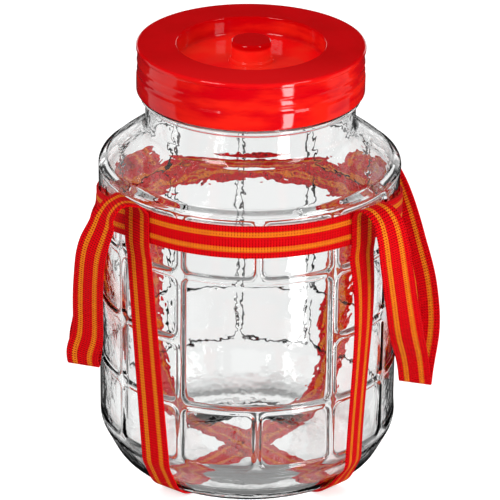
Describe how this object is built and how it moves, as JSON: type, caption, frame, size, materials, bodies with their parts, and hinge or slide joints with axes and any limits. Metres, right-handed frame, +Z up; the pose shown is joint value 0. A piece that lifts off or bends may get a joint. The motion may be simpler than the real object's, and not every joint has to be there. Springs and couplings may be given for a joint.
{
  "type": "storage jar",
  "caption": "Large clear glass storage jar with a wide red lid, wrapped in striped red and orange webbing that forms carrying handles.",
  "frame": {"origin": "on the jar's own axis, on the surface that the jar stands on", "axes": "+Z up along the jar's axis, -Y the front between the two front straps, +X the right side with the handle that bows out"},
  "size_m": [0.2823, 0.2286, 0.3364],
  "materials": {
    "clear_glass": "polished",
    "red_plastic": "gloss",
    "striped_webbing": "woven"
  },
  "bodies": {
    "root": {"glass_jar": "clear_glass", "lid": "red_plastic", "waist_band": "striped_webbing", "sling_a": "striped_webbing", "sling_b": "striped_webbing", "handle_left": "striped_webbing", "handle_right": "striped_webbing"}
  },
  "joints": []
}
